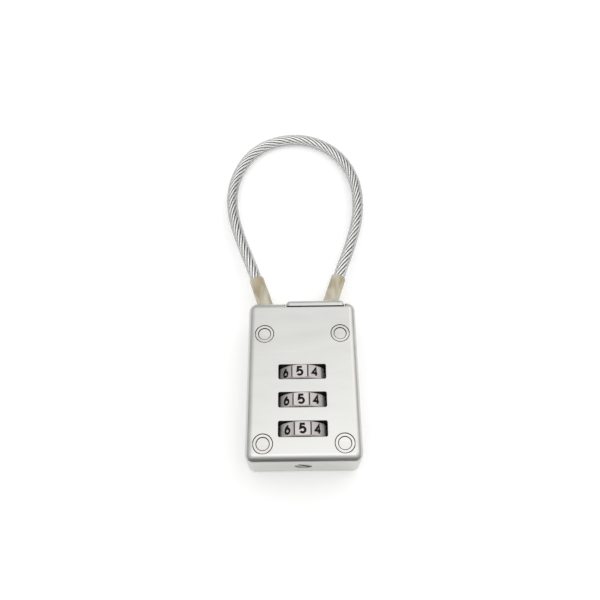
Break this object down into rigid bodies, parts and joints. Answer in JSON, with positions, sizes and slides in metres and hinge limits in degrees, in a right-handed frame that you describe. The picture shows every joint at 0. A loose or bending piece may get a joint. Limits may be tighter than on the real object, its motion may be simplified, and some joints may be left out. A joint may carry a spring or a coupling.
{
  "type": "combination cable padlock",
  "caption": "Combination padlock with turning digit dials, a steel cable loop, and a plug that pulls out along the case.",
  "frame": {"origin": "centre of the case's back face, on the surface the lock lies on", "axes": "+X to the right across the front, +Y from the reset screw up towards the cable loop, +Z out of the front face"},
  "size_m": [0.0451, 0.1172, 0.0142],
  "materials": {
    "case": "satin silver coat on die-cast zinc, finely brushed across",
    "cover": "satin silver coat on a stamped plate",
    "rivet": "turned and lightly polished",
    "frame": "black moulded nylon",
    "dial": "brushed, with black digits",
    "hub": "turned",
    "spindle": "turned, zinc plated",
    "spring": "spring steel",
    "screw": "nickel plated",
    "plug": "satin silver coat, as the case",
    "stem": "bright plated steel",
    "ferrule": "crimped tube",
    "sleeve": "soft translucent vinyl, yellowed",
    "rope": "bright galvanised wires, right-hand lay",
    "jacket": "clear vinyl"
  },
  "bodies": {
    "housing": {"front_case": "case", "back_cover": "cover", "rivets": "rivet", "dial_frame": "frame", "collet": "spring", "clutch_spring": "spring", "spindle_spring": "spring", "detent_spring": "spring", "sleeve_left": "sleeve", "ferrule_left": "ferrule", "cable": "rope", "cable_jacket": "jacket"},
    "plug": {"plug_head": "plug", "plug_stem": "stem", "sleeve_right": "sleeve", "ferrule_right": "ferrule"},
    "spindle": {"spindle": "spindle"},
    "top_dial": {"dial_top": "dial"},
    "middle_dial": {"dial_middle": "dial"},
    "bottom_dial": {"dial_bottom": "dial"},
    "top_hub": {"hub_top": "hub"},
    "middle_hub": {"hub_middle": "hub"},
    "bottom_hub": {"hub_bottom": "hub"},
    "reset_screw": {"reset_screw": "screw"},
    "reset_collar": {"reset_collar": "hub"}
  },
  "joints": [
    {"name": "plug_slide", "type": "slide", "parent": "housing", "child": "plug", "axis": [0, 1, 0], "range_m": [0, 0.01], "deforming": ["cable", "cable_jacket", "collet"]},
    {"name": "spindle_lift", "type": "slide", "parent": "housing", "child": "spindle", "axis": [0, 1, 0], "range_m": [0, 0.0016], "deforming": ["spindle_spring"]},
    {"name": "top_dial_turn", "type": "hinge", "parent": "housing", "child": "top_dial", "pos_m": [-0.00019, 0.00138, 0.0074], "axis": [0, 1, 0], "continuous": true, "deforming": ["detent_spring"]},
    {"name": "middle_dial_turn", "type": "hinge", "parent": "housing", "child": "middle_dial", "pos_m": [-0.00019, -0.00635, 0.0074], "axis": [0, 1, 0], "continuous": true, "deforming": ["detent_spring"]},
    {"name": "bottom_dial_turn", "type": "hinge", "parent": "housing", "child": "bottom_dial", "pos_m": [-0.00019, -0.01408, 0.0074], "axis": [0, 1, 0], "continuous": true, "deforming": ["detent_spring"]},
    {"name": "reset_turn", "type": "hinge", "parent": "housing", "child": "reset_screw", "pos_m": [-0.00019, -0.0205, 0.0074], "axis": [0, 1, 0], "range_deg": [0, 90]},
    {"name": "collar_lift", "type": "slide", "parent": "housing", "child": "reset_collar", "axis": [0, 1, 0], "range_m": [0, 0.0016]},
    {"name": "top_hub_shift", "type": "slide", "parent": "top_dial", "child": "top_hub", "axis": [0, 1, 0], "range_m": [0, 0.0016], "deforming": ["clutch_spring"]},
    {"name": "middle_hub_shift", "type": "slide", "parent": "middle_dial", "child": "middle_hub", "axis": [0, 1, 0], "range_m": [0, 0.0016]},
    {"name": "bottom_hub_shift", "type": "slide", "parent": "bottom_dial", "child": "bottom_hub", "axis": [0, 1, 0], "range_m": [0, 0.0016]}
  ],
  "couplings": [
    {"joint": "spindle_lift", "follows": "plug_slide", "ratio": 0.16},
    {"joint": "reset_turn", "follows": "collar_lift", "rad_per_m": 981.7},
    {"joint": "top_hub_shift", "follows": "collar_lift", "ratio": 1},
    {"joint": "middle_hub_shift", "follows": "collar_lift", "ratio": 1},
    {"joint": "bottom_hub_shift", "follows": "collar_lift", "ratio": 1}
  ]
}
